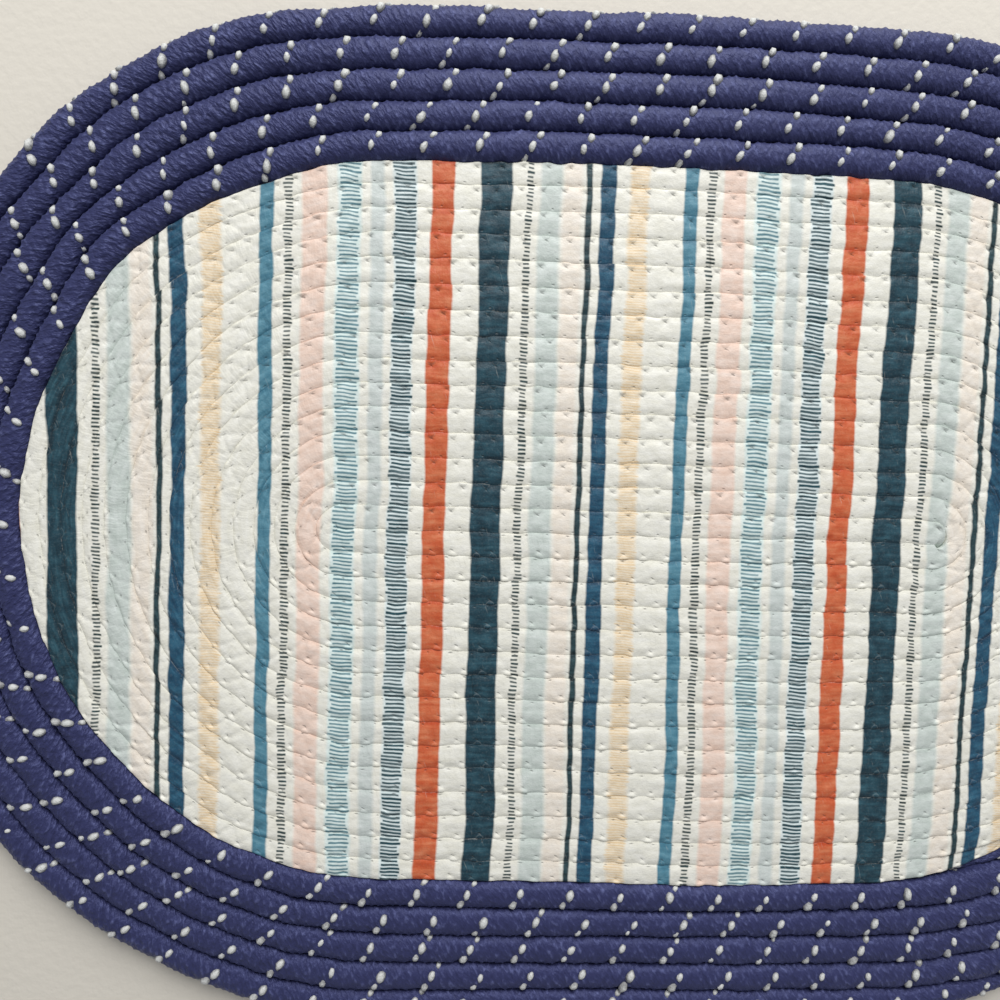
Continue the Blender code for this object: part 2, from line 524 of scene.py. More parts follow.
# %% [markdown]
# ## The cream tracer yarn
#
# The one cream yarn shows as a chain of beads, one wherever it passes over a navy yarn, and each is
# shaped like a grain of rice. One grain is modelled from a sphere of a few dozen faces. Its copies
# are then bent round the rope by the same function that laid the rope's own surface, so they
# sit in the groove that the tracer pulls into it. Beside a seam the next round squeezes them in,
# and the deepest of them, of which only a speck would show, are left out.

# %% One grain
GRAIN_LENGTH = 4.9 * MM
GRAIN_WIDTH = 3.45 * MM
GRAIN_DEPTH = 2.6 * MM

bpy.ops.object.select_all(action="DESELECT")
bpy.ops.mesh.primitive_uv_sphere_add(segments=6, ring_count=5, radius=0.5)
grain = bpy.context.object
bpy.ops.object.mode_set(mode="EDIT")
bpy.ops.mesh.select_all(action="SELECT")
bpy.ops.transform.resize(value=(GRAIN_DEPTH, GRAIN_WIDTH, GRAIN_LENGTH))
bpy.ops.mesh.quads_convert_to_tris(quad_method="SHORTEST_DIAGONAL")
bpy.ops.object.mode_set(mode="OBJECT")
grain_points = np.array([point.co[:] for point in grain.data.vertices])
grain_faces = np.array([face.vertices[:] for face in grain.data.polygons])
print("one grain has", len(grain_faces), "triangles")

# %% How the grains lie
GRAIN_STEP = YARN_LEAD / YARNS
BARE_START, BARE_END = 3, 6  # grains left out where the rope tapers
GRAIN_SINK = 0.62 * MM
SEAM_SINK = 1.15 * MM  # and this much more beside a seam
SHOWN_SINK = 1.3 * MM  # a grain that lies deeper is left out
RIM_FURTHER = 0.6  # the shaded rim of a grain beside a seam comes this much further in
ROPE_RADIUS = 6.1 * MM  # between half its width and half its height
ROPE_GIRTH = 2 * math.pi * ROPE_RADIUS
YARN_SLANT = math.atan2(ROPE_GIRTH, YARN_LEAD)
GRAIN_LEAN = math.radians(9)  # a grain stands a little steeper than its yarn runs
LEAN_SPREAD = math.radians(6)  # this and the next four say how unlike each other grains are
SIZE_SPREAD = 0.10
PLACE_SPREAD = 0.2 * MM
DENT_SPREAD = 0.07
SINK_SPREAD = 0.16 * MM
print("a grain each", round(GRAIN_STEP / MM, 2), "mm of rope")

# %% Bend the grains round the rope
last_grain = int(rope_way["length"] / GRAIN_STEP) - BARE_END
grain_draw = np.random.default_rng(31)
number = np.arange(BARE_START, last_grain)[:, None]
slant = YARN_SLANT + GRAIN_LEAN + grain_draw.normal(0, LEAN_SPREAD, number.shape)
size = 1.0 + grain_draw.normal(0, SIZE_SPREAD, number.shape)
start = number * GRAIN_STEP + grain_draw.normal(0, PLACE_SPREAD, number.shape)
dents = 1.0 + grain_draw.normal(0, DENT_SPREAD, (len(number), len(grain_points)))
deep, wide, long = [grain_points[:, axis] * size * dents for axis in range(3)]
along = start + long * np.cos(slant) + wide * np.sin(slant)
turn = start / YARN_LEAD + (long * np.sin(slant) - wide * np.cos(slant)) / ROPE_GIRTH
outwards = np.cos(2 * math.pi * start / YARN_LEAD)  # 0 on the crown, 1 or -1 beside a seam
last_round = np.interp(start, rope_way["along"], rope_way["outer"]) > BORDER_RIM - MM
beside_seam = np.where(last_round & (outwards > 0), 0.0, outwards ** 4)
sink = GRAIN_SINK + SEAM_SINK * beside_seam + grain_draw.normal(0, SINK_SPREAD, number.shape)
shown = sink[:, 0] < SHOWN_SINK
points = rope_surface(along, turn, deep - sink + YARN_RISE)[shown]
print(len(points), "of", len(number), "grains show")

# %% Make them one yarn
tracer_mesh = bpy.data.meshes.new("tracer_yarn")
faces = (grain_faces[None] + (np.arange(len(points)) * len(grain_points))[:, None, None]).reshape(-1, 3)
tracer_mesh.from_pydata(points.reshape(-1, 3), [], faces)
tracer = bpy.data.objects.new("tracer_yarn", tracer_mesh)
bpy.context.scene.collection.objects.link(tracer)
further = 1.0 + RIM_FURTHER * beside_seam
from_crown = long / GRAIN_LENGTH * further, wide / GRAIN_WIDTH * further
set_uv(tracer, *[(share + 0.5)[shown].ravel() for share in from_crown], "grain")
bpy.data.objects.remove(grain)
bpy.ops.object.select_all(action="DESELECT")
tracer.select_set(True)
bpy.context.view_layer.objects.active = tracer
bpy.ops.object.mode_set(mode="EDIT")
bpy.ops.mesh.select_all(action="SELECT")
bpy.ops.mesh.normals_make_consistent(inside=False)
bpy.ops.object.mode_set(mode="OBJECT")
bpy.ops.object.shade_smooth()
print("tracer:", len(points), "grains,", count(tracer), "triangles")

# %% [markdown]
# ## Materials: the helpers
#
# A colour is written as it would be picked from a screen, and the shader works in linear light, so
# one function turns the first into the second. Another adds a node, sets it and links its inputs.
# The rest is what the cloths share: how a shader starts and ends, and three patterns sized in mm.

# %% Colour and node helpers
def linear(code):
    """A hex colour, as RGBA in linear light."""
    shares = [int(code[i:i + 2], 16) / 255 for i in (1, 3, 5)]
    return (*[s / 12.92 if s <= 0.04045 else ((s + 0.055) / 1.055) ** 2.4 for s in shares], 1.0)


def node(tree, kind, inputs, out=0, **settings):
    """Adds a node with its settings, fills or links its inputs, and returns one of its outputs."""
    made = tree.nodes.new("ShaderNode" + kind)
    for setting, value in settings.items():
        setattr(made, setting, value)
    for place, value in inputs.items():
        if isinstance(value, bpy.types.NodeSocket):
            tree.links.new(value, made.inputs[place])
        else:
            made.inputs[place].default_value = value
    return made.outputs[out]


# %% Start and finish a cloth
def new_cloth(name, roughness, specular, sheen, sheen_tint="#FFFFFF"):
    """A cloth's material, its node tree, its shader, and the place of a point in mm."""
    material = bpy.data.materials.new(name)
    material.use_nodes = True
    tree = material.node_tree
    shader = tree.nodes["Principled BSDF"]
    shader.inputs["Roughness"].default_value = roughness
    shader.inputs["IOR"].default_value = 1.5  # cotton and polyester fibres are close to this
    shader.inputs["Specular IOR Level"].default_value = specular
    shader.inputs["Sheen Weight"].default_value = sheen
    shader.inputs["Sheen Roughness"].default_value = 0.5
    shader.inputs["Sheen Tint"].default_value = linear(sheen_tint)
    place = node(tree, "TexCoord", {}, out=3)
    to_mm = node(tree, "VectorMath", {0: place, 3: 1 / MM}, operation="SCALE")
    return material, tree, shader, to_mm


def dress(pieces, material, shader, colour, height, unit=MM):
    """Links a cloth's colour and its relief, counted in the unit, and puts it on its pieces."""
    tree = material.node_tree
    bump = node(tree, "Bump", {"Strength": 1.0, "Distance": unit, "Height": height})
    tree.links.new(colour, shader.inputs["Base Color"])
    tree.links.new(bump, shader.inputs["Normal"])
    for piece in pieces:
        piece.data.materials.append(material)
    print(material.name, "has", len(tree.nodes), "nodes")


# %% Patterns
def uneven(tree, amount, vector, size_mm, detail=1.0):
    """Smooth noise, about size_mm from swell to swell, from about -amount to +amount."""
    raw = node(tree, "TexNoise", {0: vector, 2: 1.0 / size_mm, 3: detail})
    return node(tree, "Math", {0: raw, 1: 2.0 * amount, 2: -amount}, operation="MULTIPLY_ADD")


def band(tree, value, centre, half_width, edge):
    """1 where the value is within half_width of the centre, falling to 0 over the edge."""
    past = node(tree, "Math", {0: value, 1: centre}, operation="SUBTRACT")
    away = node(tree, "Math", {0: past}, operation="ABSOLUTE")
    left = node(tree, "Math", {0: half_width, 1: away}, operation="SUBTRACT")
    return node(tree, "Math", {0: left, 1: 1.0 / edge, 2: 0.5}, operation="MULTIPLY_ADD", use_clamp=True)


def mark(tree, along, across, reach):
    """How far from the middle of a stitch mark, with 1 at its rim."""
    shares = [node(tree, "Math", {0: value, 1: 1.0 / (size / MM)}, operation="MULTIPLY")
              for value, size in zip((along, across), reach)]
    vector = node(tree, "CombineXYZ", {0: shares[0], 1: shares[1]})
    return node(tree, "VectorMath", {0: vector}, out=1, operation="LENGTH")


# %% [markdown]
# ## The printed stripes
#
# The stripes are screen printed across the finished field, so they follow X and ignore the rows.
# One repeat is 186.7 mm long. The table gives each stripe's left and right edge within the repeat,
# its colour and its kind: plain ink, a soft wash with a blurred edge, or fine dashes, whose pitch
# and thickness follow. Everything in it is in millimetres.
#
# The screen touches only the crowns of the rows, so the underside stays bare.

# %% Stripe table
REPEAT = 186.73
REPEAT_START = -238.4
GROUND = "#E7E5DA"
STRIPES = (
    # left, right, colour, soft edge, dash pitch, dash share, ragged ends
    (-1.0, 8.8, "#C8D0CA", 1.6, 0.0, 0.0, 0.0),  # pale grey wash
    (9.8, 18.0, "#E9E0D3", 1.6, 0.0, 0.0, 0.0),  # blush wash
    (19.7, 22.3, "#223C42", 0.8, 0.0, 0.0, 0.0),  # thin dark line
    (26.2, 32.9, "#204F68", 0.9, 0.0, 0.0, 0.0),  # deep blue
    (39.4, 48.0, "#E9DBC3", 1.8, 0.0, 0.0, 0.0),  # straw wash under the next
    (39.6, 47.8, "#E3CBA6", 1.2, 1.20, 0.44, 1.8),  # straw, brushed on in fine lines
    (64.1, 70.1, "#508295", 0.9, 0.0, 0.0, 0.0),  # lake blue
    (74.5, 78.3, "#1A3638", 0.6, 1.72, 0.50, 0.6),  # short dark dashes
    (82.0, 92.6, "#E8D0C1", 1.4, 0.0, 0.0, 0.0),  # pink
    (96.9, 107.9, "#D8E6E2", 1.4, 0.0, 0.0, 0.0),  # aqua wash under the next
    (97.6, 107.2, "#58808A", 0.6, 1.76, 0.48, 1.1),  # light blue dashes
    (112.0, 118.2, "#C9D0CC", 1.6, 0.0, 0.0, 0.0),  # pale grey wash
    (121.9, 131.6, "#D8E3E2", 1.4, 0.0, 0.0, 0.0),  # grey-blue wash under the next
    (122.1, 131.4, "#14424C", 0.6, 1.76, 0.57, 1.0),  # teal dashes
    (138.0, 148.0, "#CA6740", 0.9, 0.0, 0.0, 0.0),  # orange
    (159.7, 173.1, "#1C404D", 0.9, 0.0, 0.0, 0.0),  # wide dark blue
    (179.2, 182.6, "#1A3638", 0.6, 1.72, 0.50, 0.6),  # short dark dashes
)
print(len(STRIPES), "stripes in each repeat of", REPEAT, "mm")

# %% Where a point of the braid is
printed_braid, tree, shader, to_mm = new_cloth(  # matt cotton, a little smoother for the ink on it
    "screen_printed_cotton_braid", roughness=0.5, specular=0.35, sheen=0.05)
z_mm = node(tree, "SeparateXYZ", {0: to_mm}, out=2)
plan_uv = node(tree, "UVMap", {}, uv_map="print_plan")
plan_mm = node(tree, "VectorMath", {0: plan_uv, 3: 1 / MM}, operation="SCALE")
x_mm, y_mm = node(tree, "SeparateXYZ", {0: plan_mm}).node.outputs[:2]
strip_uv = node(tree, "UVMap", {}, uv_map="along_across")
along_m, across_share = node(tree, "SeparateXYZ", {0: strip_uv}).node.outputs[:2]
along_mm = node(tree, "Math", {0: along_m, 1: 1 / MM}, operation="MULTIPLY")
half_row = HALF_ROW / MM
from_outer = node(tree, "Math", {0: across_share, 1: -half_row, 2: half_row}, operation="MULTIPLY_ADD")
from_inner = node(tree, "Math", {0: across_share, 1: half_row, 2: half_row}, operation="MULTIPLY_ADD")

# %% Stripes
ROW_JOG = 0.85  # mm: each row slips a little against the next as the rug is flattened and printed
ROW_JOG_LENGTH = 70.0  # mm of braid
EDGE_JOG = 0.16  # mm: ink creeps along the cloth's ribs
WRAP_FROM = -2.0  # mm: the repeat is cut just before its first stripe, not through it
DASH_TILT = 0.05  # the dashes climb a little to the right
DASH_CALM = (0.3, 1.0, 1.0)  # they bend slowly along X
DASH_EDGE = 0.25  # of the pitch
DASH_SHORTER = 0.75  # a dash ends at most this share of its raggedness short of the stripe's edge
DASH_THICK = (0.4, 0.2)  # of its share of the pitch: the least half thickness, and what is added
DASH_INK = (0.88, 0.15)  # the least strength of its ink, and what is added
DRAWS_APART = 57.0  # each row of dashes has random draws of its own
OTHER_DRAW = 0.37  # and each dash has two of them

by_row = node(tree, "Math", {0: along_mm, 1: 1.0 / ROW_JOG_LENGTH}, operation="MULTIPLY")
row_noise = node(tree, "TexNoise", {1: by_row, 2: 1.0, 3: 1.0}, noise_dimensions="1D")
row_jog = node(tree, "Math", {0: row_noise, 1: 2 * ROW_JOG, 2: -ROW_JOG}, operation="MULTIPLY_ADD")
edge_jog = uneven(tree, EDGE_JOG, to_mm, size_mm=2.2)
jog = node(tree, "Math", {0: row_jog, 1: edge_jog}, operation="ADD")
shifted = node(tree, "Math", {0: x_mm, 1: jog}, operation="ADD")
from_start = node(tree, "Math", {0: shifted, 1: REPEAT_START}, operation="SUBTRACT")
phase = node(tree, "Math", {0: from_start, 1: REPEAT + WRAP_FROM, 2: WRAP_FROM}, operation="WRAP")
calm_mm = node(tree, "VectorMath", {0: to_mm, 1: DASH_CALM}, operation="MULTIPLY")
long_bend = uneven(tree, 0.8, calm_mm, size_mm=14.0)
short_bend = uneven(tree, 0.2, to_mm, size_mm=3.5)
dash_bend = node(tree, "Math", {0: long_bend, 1: short_bend}, operation="ADD")
dash_level = node(tree, "Math", {0: x_mm, 1: DASH_TILT, 2: y_mm}, operation="MULTIPLY_ADD")
dash_run = node(tree, "Math", {0: dash_level, 1: dash_bend}, operation="ADD")

inked_colour = linear(GROUND)
for number, (left, right, ink, edge, pitch, share, ragged) in enumerate(STRIPES):
    middle, half = (left + right) / 2, (right - left) / 2
    if not pitch:
        mask = band(tree, phase, middle, half, edge)
    else:
        count_along = node(tree, "Math", {0: dash_run, 1: pitch}, operation="DIVIDE")
        whole = node(tree, "Math", {0: count_along}, operation="FLOOR")
        part = node(tree, "Math", {0: count_along}, operation="FRACT")
        own = node(tree, "Math", {0: whole, 1: DRAWS_APART * number}, operation="ADD")
        also = node(tree, "Math", {0: own, 1: OTHER_DRAW}, operation="ADD")
        draw = node(tree, "TexWhiteNoise", {1: own}, noise_dimensions="1D")
        other = node(tree, "TexWhiteNoise", {1: also}, noise_dimensions="1D")
        # each dash lies a little to the side, and is longer or thicker, in its own way
        slid = node(tree, "Math", {0: draw, 1: ragged, 2: middle - ragged / 2}, operation="MULTIPLY_ADD")
        short = half - ragged * DASH_SHORTER
        reach = node(tree, "Math", {0: other, 1: ragged, 2: short}, operation="MULTIPLY_ADD")
        thin, thicker = DASH_THICK[0] * share, DASH_THICK[1] * share
        thick = node(tree, "Math", {0: other, 1: thicker, 2: thin}, operation="MULTIPLY_ADD")
        long_way = band(tree, phase, slid, reach, edge)
        thick_way = band(tree, part, 0.5, thick, DASH_EDGE)
        dash = node(tree, "Math", {0: long_way, 1: thick_way}, operation="MULTIPLY")
        strength = node(tree, "Math", {0: draw, 1: DASH_INK[1], 2: DASH_INK[0]}, operation="MULTIPLY_ADD")
        mask = node(tree, "Math", {0: dash, 1: strength}, operation="MULTIPLY")
    inked_colour = node(tree, "Mix", {0: mask, 6: inked_colour, 7: linear(ink)}, out=2, data_type="RGBA")
print("the stripes take", len(tree.nodes), "nodes")

# %% [markdown]
# ## What the needle and the press leave
#
# The same stitch marks that shaped the mesh come back here, finer: the rim of each puff rubs bare and
# its pit is given painted shade. A few long pale scratches cross the dark inks, where the dry ink
# cracked along the cloth, and the edges of the rows rub bare. Elsewhere the ink lies a little thicker
# or thinner. Light crosses it twice, so a deeper layer raises its colour to a power: that darkens the
# dark inks a lot and the white cloth hardly at all. The same power also darkens the inks towards both
# seams of each row: that is painted shade.

# %% Stitch marks
PIT_DARK = (1.15 * MM, 0.6 * MM)  # the dark of a pit is smaller than its dip
NEAR_PIT_DARK = (0.9 * MM, 0.5 * MM)
PIT_SLANT = 0.35  # and the thread draws it out of square
PIT_RAGGED = 0.5  # of its reach
PUFF_POWER = 0.7  # 1 would be a round puff, less is flatter on top

full_stitch = STITCH / MM
past_stitch = node(tree, "Math", {0: along_mm, 1: full_stitch / 2, 2: -full_stitch / 2}, operation="WRAP")
later = node(tree, "Math", {0: along_mm, 1: NEAR_PIT_LATER / MM}, operation="SUBTRACT")
past_near = node(tree, "Math", {0: later, 1: full_stitch / 2, 2: -full_stitch / 2}, operation="WRAP")

puff_rim = mark(tree, past_stitch, from_outer, PUFF_REACH)
pit_along = node(tree, "Math", {0: past_stitch, 1: PIT_EARLY / MM}, operation="ADD")
pit_slope = node(tree, "Math", {0: past_stitch, 1: PIT_SLANT, 2: -PIT_IN / MM}, operation="MULTIPLY_ADD")
pit_across = node(tree, "Math", {0: from_outer, 1: pit_slope}, operation="ADD")
pit_rim = mark(tree, pit_along, pit_across, PIT_DARK)
near_across = node(tree, "Math", {0: from_inner, 1: NEAR_PIT_IN / MM}, operation="SUBTRACT")
near_rim = mark(tree, past_near, near_across, NEAR_PIT_DARK)
shallowest = node(tree, "Math", {0: pit_rim, 1: near_rim}, operation="MINIMUM")
pit_edge = uneven(tree, PIT_RAGGED, to_mm, size_mm=1.4)
ragged_pit = node(tree, "Math", {0: shallowest, 1: pit_edge}, operation="ADD")
pits = node(tree, "Math", {0: 1.0, 1: ragged_pit}, operation="SUBTRACT", use_clamp=True)
squared_rim = node(tree, "Math", {0: puff_rim, 1: puff_rim}, operation="MULTIPLY")
puff_inside = node(tree, "Math", {0: 1.0, 1: squared_rim}, operation="SUBTRACT", use_clamp=True)
puffs = node(tree, "Math", {0: puff_inside, 1: PUFF_POWER}, operation="POWER")

# %% Where the cloth is bare
SCRATCH_TURN = math.radians(-72)
SCRATCH_SIZE = (7.0, 0.9, 5.0)  # mm
SCRATCH_GAIN, SCRATCH_CUT = 1.4, 0.99  # only the highest peaks of the noise become scratches
RIM_RUB = 0.10  # the share of bare cloth on the rim of a puff
SEAM_RUB = 0.35  # and along a seam
SEAM_SHARP = 8.0  # how sharply the rubbed seam ends, for each half row
INK_FROM = 4.0  # mm above the floor: the cloth is bare below this

flecks = uneven(tree, 0.07, to_mm, size_mm=0.9, detail=2.0)
scratch_place = node(tree, "Mapping", {0: to_mm, 2: (0.0, 0.0, SCRATCH_TURN), 3: SCRATCH_SIZE},
                     vector_type="TEXTURE")
scratch_noise = node(tree, "TexNoise", {0: scratch_place, 2: 1.0, 3: 1.0})
scratches = node(tree, "Math", {0: scratch_noise, 1: SCRATCH_GAIN, 2: -SCRATCH_CUT},
                 operation="MULTIPLY_ADD", use_clamp=True)
rim = band(tree, puff_rim, centre=0.92, half_width=0.04, edge=0.3)
rubbed_rim = node(tree, "Math", {0: rim, 1: RIM_RUB}, operation="MULTIPLY")
to_seam = node(tree, "Math", {0: across_share}, operation="ABSOLUTE")
seam_edge = node(tree, "Math", {0: to_seam, 1: uneven(tree, 0.09, to_mm, size_mm=1.5)}, operation="ADD")
bare_seam = node(tree, "Math", {0: seam_edge, 1: SEAM_SHARP, 2: -SEAM_SHARP},
                 operation="MULTIPLY_ADD", use_clamp=True)
showing = node(tree, "Math", {0: scratches, 1: rubbed_rim}, operation="ADD")
showing = node(tree, "Math", {0: bare_seam, 1: SEAM_RUB, 2: showing}, operation="MULTIPLY_ADD")
showing = node(tree, "Math", {0: showing, 1: flecks}, operation="ADD", use_clamp=True)
underside = node(tree, "Math", {0: z_mm, 1: INK_FROM}, operation="LESS_THAN")
bare = node(tree, "Math", {0: showing, 1: underside}, operation="MAXIMUM")

# %% How deep the ink lies, and painted shade at the seams
SEAM_SHADE_IN_INK = 0.22  # painted shade: the power on the inks grows by this much at a seam
SEAM_POWER = 4.0  # and only close to it
INK_BLOTCHES = 0.34
INK_STREAKS = 0.30  # along the rows
ALONG_ROW = (0.14, 1.0, 1.0)  # stretches a pattern along its row

# painted shade: the inks darken towards both seams of each row, where shade falls
painted_seam_shade = node(tree, "Math", {0: to_seam, 1: SEAM_POWER}, operation="POWER")
ink_depth_and_seam_shade = node(tree, "Math", {0: painted_seam_shade, 1: SEAM_SHADE_IN_INK, 2: 1.0}, operation="MULTIPLY_ADD")
blotches = uneven(tree, INK_BLOTCHES, to_mm, size_mm=4.5, detail=3.0)
rows_mm = node(tree, "CombineXYZ", {0: along_mm, 1: from_outer})
rows_mm = node(tree, "VectorMath", {0: rows_mm, 1: ALONG_ROW}, operation="MULTIPLY")
streaks = uneven(tree, INK_STREAKS, rows_mm, size_mm=1.6)
for part in (blotches, streaks):
    ink_depth_and_seam_shade = node(tree, "Math", {0: ink_depth_and_seam_shade, 1: part}, operation="ADD")
inked_colour = node(tree, "Gamma", {0: inked_colour, 1: ink_depth_and_seam_shade})
colour = node(tree, "Mix", {0: bare, 6: inked_colour, 7: linear(GROUND)}, out=2, data_type="RGBA")

# %% Shade in the pits
PIT_SHADE = 0.30
PIT_GREY = "#55514A"
PITS_FROM = 5.0  # mm above the floor
CLOTH_TONE = 0.06  # how far the cloth is from evenly white

pit_shade = node(tree, "Math", {0: pits, 1: PIT_SHADE}, operation="MULTIPLY")
on_top = node(tree, "Math", {0: z_mm, 1: PITS_FROM}, operation="GREATER_THAN")
pit_shade = node(tree, "Math", {0: pit_shade, 1: on_top}, operation="MULTIPLY")
colour = node(tree, "Mix", {0: pit_shade, 6: colour, 7: linear(PIT_GREY)}, out=2, data_type="RGBA")
cloth_tone = uneven(tree, CLOTH_TONE, to_mm, size_mm=5.0, detail=3.0)
bright = node(tree, "Math", {0: cloth_tone, 1: 1.0}, operation="ADD")
colour = node(tree, "VectorMath", {0: colour, 3: bright}, operation="SCALE")

# %% The cloth's relief
RIB = STITCH / MM / 4  # mm: four soft ribs to a stitch, across the braid
RIB_LEAN = 0.6  # mm: their ends trail back towards both seams, like a fishbone
RIB_WANDER = 0.5  # mm
RIB_HEIGHT, RIB_FADE = 0.014, 0.035  # mm: the ribs are worn away in places and stand out in others
FINE_RIB = 0.45  # a second, finer rib rides on each, with this share of its height
PUFF_RELIEF, PIT_RELIEF = 0.19, -0.25  # mm, on top of what the mesh has
FIBRE_RELIEF = 0.06  # mm
KNIT_RELIEF = 0.12  # mm

rib_wander = uneven(tree, RIB_WANDER, to_mm, size_mm=4.0)
rib_bend = node(tree, "Math", {0: along_mm, 1: rib_wander}, operation="ADD")
rib_place = node(tree, "Math", {0: to_seam, 1: RIB_LEAN, 2: rib_bend}, operation="MULTIPLY_ADD")
rib_turn = node(tree, "Math", {0: rib_place, 1: 2 * math.pi / RIB}, operation="MULTIPLY")
double_turn = node(tree, "Math", {0: rib_turn, 1: 2.0}, operation="MULTIPLY")
broad_rib = node(tree, "Math", {0: rib_turn}, operation="SINE")
fine_rib = node(tree, "Math", {0: double_turn}, operation="SINE")
rib_wave = node(tree, "Math", {0: fine_rib, 1: FINE_RIB, 2: broad_rib}, operation="MULTIPLY_ADD")
rib_fade = uneven(tree, RIB_FADE, to_mm, size_mm=9.0)
rib_strength = node(tree, "Math", {0: rib_fade, 1: RIB_HEIGHT}, operation="ADD")
height = node(tree, "Math", {0: rib_wave, 1: rib_strength}, operation="MULTIPLY")
for part, share in (
    (puffs, PUFF_RELIEF),
    (pits, PIT_RELIEF),
    (uneven(tree, FIBRE_RELIEF, to_mm, size_mm=0.7, detail=2.0), 1.0),
    (uneven(tree, KNIT_RELIEF, to_mm, size_mm=2.8), 1.0),
):
    height = node(tree, "Math", {0: part, 1: share, 2: height}, operation="MULTIPLY_ADD")
dress(field_pieces, printed_braid, shader, colour, height)

# %% [markdown]
# ## The navy yarn
#
# The rope's yarns are soft bundles of bulked polyester filament. They are brushed by handling, so the
# crossings that the mesh has are half hidden under a satin nap: soft patches that lean the other way
# from the tracer, and fine filaments over them. Their lit and dull tones are painted sheen. Both are
# worked out in millimetres along and round the rope, read from the UV map, so they follow it round
# the ends. There the yarns are bunched up by the bend, and the patches stand out more.

# %% Where a point of the rope is
navy_yarn, tree, shader, to_mm = new_cloth(  # matt yarn, with a blue bloom where filaments catch light
    "navy_bulked_polyester_yarn", roughness=0.5, specular=0.55, sheen=0.2, sheen_tint="#8C94C4")
shader.inputs["Specular Tint"].default_value = linear("#A6AEDE")  # light leaves through dyed fibre

strip_uv = node(tree, "UVMap", {}, uv_map="along_turn")
unrolled = node(tree, "VectorMath", {0: strip_uv, 1: (1 / MM, ROPE_GIRTH / MM, 0.0)}, operation="MULTIPLY")
along_m, turns_round = node(tree, "SeparateXYZ", {0: strip_uv}).node.outputs[:2]
yarns_along = node(tree, "Math", {0: along_m, 1: YARNS / YARN_LEAD}, operation="MULTIPLY")
yarns_round = node(tree, "Math", {0: turns_round, 1: YARNS}, operation="MULTIPLY")
crossings = []
for operation in ("SUBTRACT", "ADD"):
    number = node(tree, "Math", {0: yarns_round, 1: yarns_along}, operation=operation)
    turned = node(tree, "Math", {0: number, 1: math.pi}, operation="MULTIPLY")
    crossings.append(node(tree, "Math", {0: turned}, operation="COSINE"))
crown = node(tree, "Math", {0: crossings[0], 1: crossings[1]}, operation="MULTIPLY")
crown = node(tree, "Math", {0: crown}, operation="ABSOLUTE")

# %% The nap of the rope
NAP_LEAN = math.radians(125)  # of the lit patches, from the rope's own direction
PATCH_SIZE, FILAMENT_SIZE = (3.4, 2.0, 1.0), (2.4, 0.9, 1.0)  # mm
BEND_START, BEND_FULL = 90.0, 170.0  # mm to the side of the rug's middle
BEND_NAP = 2.2  # the patches stand out this many times as much round the ends

naps = []
for size in (PATCH_SIZE, FILAMENT_SIZE):
    leaning = node(tree, "Mapping", {0: unrolled, 2: (0.0, 0.0, NAP_LEAN), 3: size}, vector_type="TEXTURE")
    raw = node(tree, "TexNoise", {0: leaning, 2: 1.0, 3: 2.0})
    naps.append(node(tree, "Math", {0: raw, 1: 0.5}, operation="SUBTRACT"))
patches, filaments = naps
x_mm = node(tree, "SeparateXYZ", {0: to_mm})
from_middle = node(tree, "Math", {0: x_mm}, operation="ABSOLUTE")
bunched = node(tree, "MapRange", {0: from_middle, 1: BEND_START, 2: BEND_FULL, 3: 1.0, 4: BEND_NAP})
standing = node(tree, "Math", {0: patches, 1: bunched}, operation="MULTIPLY")

# %% The tone and the relief of the rope
# the ramp's lit end stands for painted sheen on the nap's patches and filaments
DARK_NAVY, NAVY, LIT_NAVY = "#282A4A", "#32355A", "#666C98"
MEAN_TONE = 0.37  # of the way from dark to lit

tone = MEAN_TONE
for part, share in (
    (patches, 1.2),
    (filaments, 0.35),
    # painted highlight on the crowns of the crossings, and painted shade in the gaps between them
    (crown, 0.12),
    (uneven(tree, 0.5, to_mm, size_mm=9.0), 0.35),  # worn lighter in places
):
    tone = node(tree, "Math", {0: part, 1: share, 2: tone}, operation="MULTIPLY_ADD")
ramp = node(tree, "ValToRGB", {0: tone})
stops = ramp.node.color_ramp.elements
stops[0].color, stops[1].color = linear(DARK_NAVY), linear(LIT_NAVY)
stops.new(0.5).color = linear(NAVY)
height = 0.0
for part, share in (  # shares in mm
    (standing, 0.62),
    (filaments, 0.24),
    (crown, 0.09),
    (uneven(tree, 0.5, to_mm, size_mm=0.8), 0.08),  # fuzz
):
    height = node(tree, "Math", {0: part, 1: share, 2: height}, operation="MULTIPLY_ADD")
dress(border_pieces, navy_yarn, shader, ramp, height)

# %% [markdown]
# ## The cream yarn
#
# The tracer is the same kind of yarn, undyed. Each grain is brightest on its crown and greyer where
# it dives under its neighbours: that grey is painted shade, and partly the dirt that handling leaves.

# %% Cream yarn material
cream_yarn, tree, shader, to_mm = new_cloth(  # matt all over: pulled too tight for any bloom
    "cream_bulked_polyester_yarn", roughness=0.6, specular=0.3, sheen=0.05)
# the rim grey is painted shade where a grain dives under its neighbours, and partly handling dirt
CROWN_CREAM, RIM_SHADE_AND_DIRT = "#D2D3D0", "#929292"
GREY_FROM, GREY_SHARP = 0.25, 3.6  # half way from the crown to the outline, and how fast it comes
GREY_RAGGED = 0.16
STRANDS = (1.6, 9.0, 0.0)  # over the length of a grain and over its width
STRAND_RELIEF = 0.5 * MM
FUZZ_SHARE = 0.3  # of the strands' relief

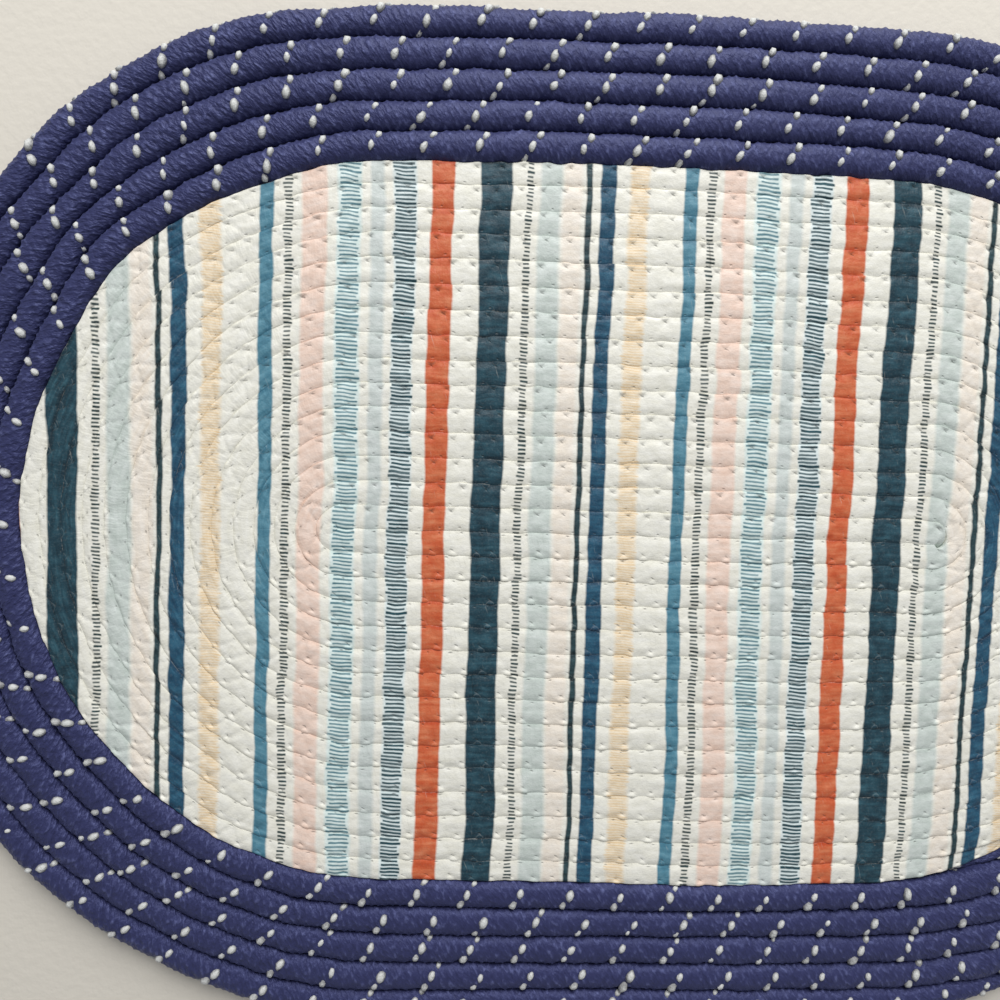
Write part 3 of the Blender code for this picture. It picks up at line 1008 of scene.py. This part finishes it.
grain_uv = node(tree, "UVMap", {}, uv_map="grain")
from_middle = node(tree, "VectorMath", {0: grain_uv, 1: (0.5, 0.5, 0.0)}, operation="SUBTRACT")
from_crown = node(tree, "VectorMath", {0: from_middle}, out=1, operation="LENGTH")
grey_edge = uneven(tree, GREY_RAGGED, to_mm, size_mm=0.9, detail=2.0)
ragged = node(tree, "Math", {0: from_crown, 1: grey_edge}, operation="ADD")
rim_shade_and_dirt = node(tree, "Math", {0: ragged, 1: GREY_SHARP, 2: -GREY_SHARP * GREY_FROM},
              operation="MULTIPLY_ADD", use_clamp=True)
colour = node(tree, "Mix", {0: rim_shade_and_dirt, 6: linear(CROWN_CREAM), 7: linear(RIM_SHADE_AND_DIRT)}, out=2, data_type="RGBA")
stretched = node(tree, "VectorMath", {0: grain_uv, 1: STRANDS}, operation="MULTIPLY")
strands = node(tree, "TexNoise", {0: stretched, 2: 1.0, 3: 2.0})
fuzz = uneven(tree, FUZZ_SHARE, to_mm, size_mm=0.9)
height = node(tree, "Math", {0: strands, 1: fuzz}, operation="ADD")
dress([tracer], cream_yarn, shader, colour, height, unit=STRAND_RELIEF)

# %% [markdown]
# ## Each piece in the place of its solid
#
# The frame still holds the plain solids. Each new piece rides on the rug's one body, and the solid
# whose place it takes is hidden. The braid and the rope are narrow tubes of cloth: off the rug, each
# presses flat to half its girth, and is as long as the winding takes.

BRAID_FLAT_WIDTH = 14.5 * MM
ROPE_FLAT_WIDTH = 18.0 * MM
for pieces, way, flat_width, node_name, slot in (
    (field_pieces, braid_way, BRAID_FLAT_WIDTH, "field", "printed_braid"),
    (border_pieces, rope_way, ROPE_FLAT_WIDTH, "border", "navy_rope"),
):
    for piece in pieces:
        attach(piece, "root")
        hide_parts(node_name)
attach(tracer, "root")
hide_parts("border")

# %% [markdown]
# ## Floor and light
#
# A plain pale floor takes the shadow. The light is one large soft source beyond the rug's far long
# side, low enough to shade every row, with a pale sky to fill the shadows.

# %% Floor
FLOOR_SIZE = 8.0
FLOOR_COLOUR = "#DAD4C8"
FLOOR_RELIEF = 0.12 * MM

bpy.ops.object.select_all(action="DESELECT")
bpy.ops.mesh.primitive_plane_add(size=FLOOR_SIZE)
floor = bpy.context.object
floor.name = "floor"
material = bpy.data.materials.new("pale_painted_board")  # matt, with a faint swell under the paint
material.use_nodes = True
tree = material.node_tree
shader = tree.nodes["Principled BSDF"]
shader.inputs["Base Color"].default_value = linear(FLOOR_COLOUR)
shader.inputs["Roughness"].default_value = 0.8
place = node(tree, "TexCoord", {}, out=3)
to_mm = node(tree, "VectorMath", {0: place, 3: 1 / MM}, operation="SCALE")
swell = uneven(tree, 1.0, to_mm, size_mm=4.0, detail=2.0)
bump = node(tree, "Bump", {"Strength": 1.0, "Distance": FLOOR_RELIEF, "Height": swell})
tree.links.new(bump, shader.inputs["Normal"])
floor.data.materials.append(material)

# %% Light and sky
KEY_PLACE = (0.15, 1.55, 1.10)
KEY_SIZE = 1.5
KEY_POWER = 42.5  # watts
SKY_COLOUR = "#F4F6FA"
SKY_STRENGTH = 0.39
bpy.ops.object.light_add(type="AREA", location=KEY_PLACE)
key = bpy.context.object
key.name = "key_light"
key.data.shape = "DISK"
key.data.size = KEY_SIZE
key.data.energy = KEY_POWER
key.rotation_euler = (-key.location).to_track_quat("-Z", "Y").to_euler()

world = bpy.data.worlds.new("pale_sky")
world.use_nodes = True
sky = world.node_tree.nodes["Background"]
sky.inputs["Color"].default_value = linear(SKY_COLOUR)
sky.inputs["Strength"].default_value = SKY_STRENGTH
bpy.context.scene.world = world
bpy.context.scene.view_settings.view_transform = "Standard"
print("key light", round(key.location.length, 2), "m from the middle of the rug")
